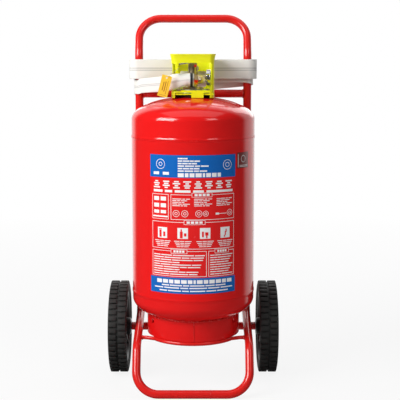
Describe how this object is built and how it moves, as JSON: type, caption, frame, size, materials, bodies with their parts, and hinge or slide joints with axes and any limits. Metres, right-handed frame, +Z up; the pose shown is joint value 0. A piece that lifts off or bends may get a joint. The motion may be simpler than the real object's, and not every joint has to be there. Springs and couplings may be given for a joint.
{
  "type": "wheeled fire extinguisher",
  "caption": "Large red powder extinguisher on a two-wheeled tube trolley, with a flat hose wound round the uprights and a guarded valve.",
  "frame": {"origin": "on the floor, midway between the wheels' outer caps and midway between the foot bar's front and the tyres' rear", "axes": "+Z up, -Y towards the front, +X towards the gauge side"},
  "size_m": [0.4704, 0.382, 0.9743],
  "materials": {
    "red_paint": "gloss powder coat",
    "brass": "satin machined",
    "chrome": "polished plating",
    "zinc_steel": "zinc plated",
    "black_plastic": "moulded, fine grain",
    "black_rubber": "matt rubber",
    "white_hose": "woven jacket",
    "yellow_guard": "fluorescent, satin",
    "orange_tag": "sheet, satin",
    "red_plastic": "moulded, gloss",
    "white_dial": "printed, satin",
    "clear_lens": "clear, polished"
  },
  "bodies": {
    "unit": {"handle_bow": "red_paint", "left_upright": "red_paint", "right_upright": "red_paint", "foot_bow": "red_paint", "cross_bar": "red_paint", "tank_saddle": "red_paint", "cradle_bar": "red_paint", "axle_tube": "red_paint", "axle_shaft": "zinc_steel", "left_axle_lug": "red_paint", "right_axle_lug": "red_paint", "left_inner_washer": "zinc_steel", "right_inner_washer": "zinc_steel", "left_outer_washer": "zinc_steel", "right_outer_washer": "zinc_steel", "left_axle_cap": "red_paint", "right_axle_cap": "red_paint", "tank_barrel": "red_paint", "tank_top_head": "red_paint", "tank_bottom_head": "red_paint", "base_skirt": "red_paint", "neck_ring": "red_paint", "dip_tube": "zinc_steel", "valve_body": "brass", "ring_nut": "zinc_steel", "spring_retainer": "brass", "valve_spring": "zinc_steel", "lever_pin": "zinc_steel", "seal_cap": "red_plastic", "gauge_case": "chrome", "gauge_dial": "white_dial", "gauge_lens": "clear_lens", "valve_guard": "yellow_guard", "hose": "white_hose", "hose_tail": "brass", "hose_clamp": "black_plastic", "nozzle_coupling": "brass", "nozzle_body": "black_plastic", "hose_end_clamp": "black_plastic", "nozzle_clip": "zinc_steel"},
    "left_wheel": {"left_tyre": "black_rubber", "left_rim": "black_plastic", "left_wheel_bush": "brass"},
    "right_wheel": {"right_tyre": "black_rubber", "right_rim": "black_plastic", "right_wheel_bush": "brass"},
    "lever": {"lever": "chrome"},
    "stem": {"valve_stem": "chrome"},
    "pin": {"safety_pin": "zinc_steel"},
    "needle": {"gauge_needle": "black_plastic"},
    "swivel_nut": {"coupling_nut": "brass"},
    "tag": {"hang_tag": "orange_tag", "tag_wire": "zinc_steel"},
    "nozzle_handle": {"nozzle_valve_handle": "red_paint"}
  },
  "joints": [
    {"name": "left_wheel_spin", "type": "hinge", "parent": "unit", "child": "left_wheel", "pos_m": [-0.2022, 0.066, 0.125], "axis": [1, 0, 0], "continuous": true},
    {"name": "right_wheel_spin", "type": "hinge", "parent": "unit", "child": "right_wheel", "pos_m": [0.2022, 0.066, 0.125], "axis": [1, 0, 0], "continuous": true},
    {"name": "lever_lift", "type": "hinge", "parent": "unit", "child": "lever", "pos_m": [-0.004, -0.02, 0.84405], "axis": [0, 1, 0], "range_deg": [0, 80]},
    {"name": "stem_press", "type": "slide", "parent": "unit", "child": "stem", "axis": [0, 0, -1], "range_m": [0, 0.004], "deforming": ["valve_spring"]},
    {"name": "pin_pull", "type": "slide", "parent": "unit", "child": "pin", "axis": [0, 1, 0], "range_m": [0, 0.022]},
    {"name": "needle_turn", "type": "hinge", "parent": "unit", "child": "needle", "pos_m": [0.04, -0.016, 0.80755], "axis": [1, 0, 0], "range_deg": [-45, 45], "stiffness_Nm_per_rad": 0.0005},
    {"name": "nut_turn", "type": "hinge", "parent": "unit", "child": "swivel_nut", "pos_m": [0.006, -0.056, 0.80255], "axis": [1, 0, 0], "continuous": true},
    {"name": "tag_swing", "type": "hinge", "parent": "unit", "child": "tag", "pos_m": [-0.0408, -0.073, 0.82805], "axis": [-1, 0, 0], "range_deg": [0, 15]},
    {"name": "nozzle_open", "type": "hinge", "parent": "unit", "child": "nozzle_handle", "pos_m": [0.033, 0.159, 0.6541], "axis": [1, 0, 0], "range_deg": [0, 90]}
  ],
  "couplings": [
    {"joint": "stem_press", "follows": "lever_lift", "m_per_rad": 0.002864}
  ]
}
